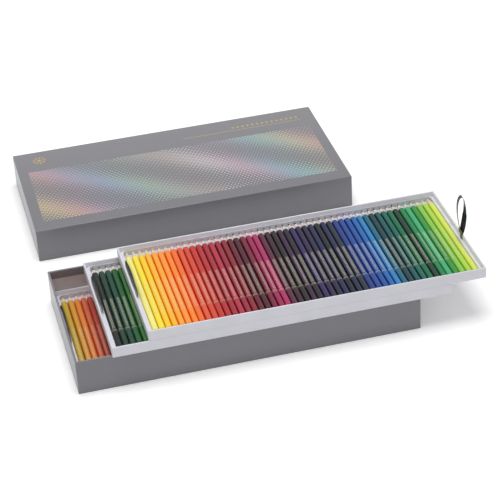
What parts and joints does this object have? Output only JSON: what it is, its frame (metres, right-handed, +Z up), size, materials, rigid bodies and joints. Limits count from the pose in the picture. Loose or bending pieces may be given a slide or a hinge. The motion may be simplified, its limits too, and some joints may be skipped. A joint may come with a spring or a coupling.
{
  "type": "pencil box with stepped lift-out trays",
  "caption": "Rigid paper-covered box with a lift-off lid and shallow lift-out trays of coloured pencils, each tray with a ribbon pull at both ends.",
  "frame": {"origin": "centre of the base box's underside, on the surface that it stands on", "axes": "+X to the right along the box, the way the upper trays are stepped; +Y to the back, where the pencil points and the lid are; +Z up"},
  "size_m": [0.5001, 0.5062, 0.1269],
  "materials": {
    "greyboard": "raw grey board",
    "covering_paper": "grey printed paper, satin",
    "lining_paper": "white paper, matt",
    "stay_tape": "kraft paper tape",
    "tray_card": "white card, satin",
    "ribbon": "charcoal satin ribbon",
    "coloured_core": "waxy coloured core, each in its pencil's colour",
    "lacquer_yellow": "cedar pencil with gloss lacquer",
    "lacquer_orange": "cedar pencil with gloss lacquer",
    "lacquer_red": "cedar pencil with gloss lacquer",
    "lacquer_wine": "cedar pencil with gloss lacquer",
    "lacquer_violet": "cedar pencil with gloss lacquer",
    "lacquer_navy": "cedar pencil with gloss lacquer",
    "lacquer_blue": "cedar pencil with gloss lacquer",
    "lacquer_teal": "cedar pencil with gloss lacquer",
    "lacquer_green": "cedar pencil with gloss lacquer",
    "lacquer_lime": "cedar pencil with gloss lacquer",
    "lacquer_dark_green": "cedar pencil with gloss lacquer",
    "lacquer_olive": "cedar pencil with gloss lacquer",
    "lacquer_ochre": "cedar pencil with gloss lacquer",
    "lacquer_brown": "cedar pencil with gloss lacquer",
    "lacquer_grey": "cedar pencil with gloss lacquer",
    "lacquer_black": "cedar pencil with gloss lacquer",
    "lacquer_amber": "cedar pencil with gloss lacquer",
    "lacquer_salmon": "cedar pencil with gloss lacquer",
    "lacquer_rose": "cedar pencil with gloss lacquer",
    "lacquer_purple": "cedar pencil with gloss lacquer",
    "lacquer_sky": "cedar pencil with gloss lacquer",
    "lacquer_mint": "cedar pencil with gloss lacquer"
  },
  "bodies": {
    "base": {"base_board": "greyboard", "base_corner_stays": "stay_tape", "base_lining": "lining_paper", "base_underside_sheet": "covering_paper", "base_wrap": "covering_paper"},
    "lid": {"lid_board": "greyboard", "lid_corner_stays": "stay_tape", "lid_lining": "lining_paper", "lid_wrap": "covering_paper"},
    "bottom_open_pencils": {"bottom_pencils_amber": "lacquer_amber", "bottom_points_open": "coloured_core"},
    "bottom_left_pull": {"bottom_ribbon_left": "ribbon"},
    "bottom_tray": {"bottom_pencils_mint": "lacquer_mint", "bottom_pencils_purple": "lacquer_purple", "bottom_pencils_rose": "lacquer_rose", "bottom_pencils_salmon": "lacquer_salmon", "bottom_pencils_sky": "lacquer_sky", "bottom_points_covered": "coloured_core", "bottom_ribbon_right": "ribbon", "bottom_ribbon_tails": "ribbon", "bottom_tray": "tray_card"},
    "middle_open_pencils": {"middle_pencils_dark_green": "lacquer_dark_green", "middle_points_open": "coloured_core"},
    "middle_left_pull": {"middle_ribbon_left": "ribbon"},
    "middle_tray": {"middle_pencils_black": "lacquer_black", "middle_pencils_brown": "lacquer_brown", "middle_pencils_grey": "lacquer_grey", "middle_pencils_ochre": "lacquer_ochre", "middle_pencils_olive": "lacquer_olive", "middle_points_covered": "coloured_core", "middle_ribbon_right": "ribbon", "middle_ribbon_tails": "ribbon", "middle_tray": "tray_card"},
    "top_pencils": {"top_pencils_blue": "lacquer_blue", "top_pencils_green": "lacquer_green", "top_pencils_navy": "lacquer_navy", "top_pencils_orange": "lacquer_orange", "top_pencils_red": "lacquer_red", "top_pencils_teal": "lacquer_teal", "top_pencils_violet": "lacquer_violet", "top_pencils_wine": "lacquer_wine", "top_pencils_yellow": "lacquer_yellow", "top_points_open": "coloured_core"},
    "top_left_pull": {"top_ribbon_left": "ribbon"},
    "top_right_pull": {"top_ribbon_right": "ribbon"},
    "top_tray": {"top_pencils_lime": "lacquer_lime", "top_points_under_ribbon": "coloured_core", "top_ribbon_tails": "ribbon", "top_tray": "tray_card"}
  },
  "joints": [
    {"name": "lid_lift", "type": "slide", "parent": "base", "child": "lid", "axis": [0, 0, 1], "range_m": [0, 0.12]},
    {"name": "bottom_tray_lift", "type": "slide", "parent": "base", "child": "bottom_tray", "axis": [0, 0, 1], "range_m": [0, 0.0285]},
    {"name": "middle_tray_slide", "type": "slide", "parent": "base", "child": "middle_tray", "axis": [1, 0, 0], "range_m": [-0.0433, 0.06]},
    {"name": "top_tray_slide", "type": "slide", "parent": "middle_tray", "child": "top_tray", "axis": [1, 0, 0], "range_m": [-0.0433, 0.06]},
    {"name": "top_pencils_lift", "type": "slide", "parent": "top_tray", "child": "top_pencils", "axis": [0, 0, 1], "range_m": [0, 0.05]},
    {"name": "middle_pencils_lift", "type": "slide", "parent": "middle_tray", "child": "middle_open_pencils", "axis": [0, 0, 1], "range_m": [0, 0.05]},
    {"name": "bottom_pencils_lift", "type": "slide", "parent": "bottom_tray", "child": "bottom_open_pencils", "axis": [0, 0, 1], "range_m": [0, 0.05]},
    {"name": "bottom_left_pull_swing", "type": "hinge", "parent": "bottom_tray", "child": "bottom_left_pull", "pos_m": [-0.2003, -0.01115, 0.00735], "axis": [1, 0, 0], "range_deg": [0, 80]},
    {"name": "middle_left_pull_swing", "type": "hinge", "parent": "middle_tray", "child": "middle_left_pull", "pos_m": [-0.16, -0.024, 0.04965], "axis": [1, 0, 0], "range_deg": [0, 80]},
    {"name": "top_left_pull_swing", "type": "hinge", "parent": "top_tray", "child": "top_left_pull", "pos_m": [-0.1167, -0.024, 0.06305], "axis": [1, 0, 0], "range_deg": [0, 80]},
    {"name": "top_right_pull_swing", "type": "hinge", "parent": "top_tray", "child": "top_right_pull", "pos_m": [0.28625, -0.024, 0.0719], "axis": [0, 1, 0], "range_deg": [-60, 60], "stiffness_Nm_per_rad": 0.0006}
  ]
}
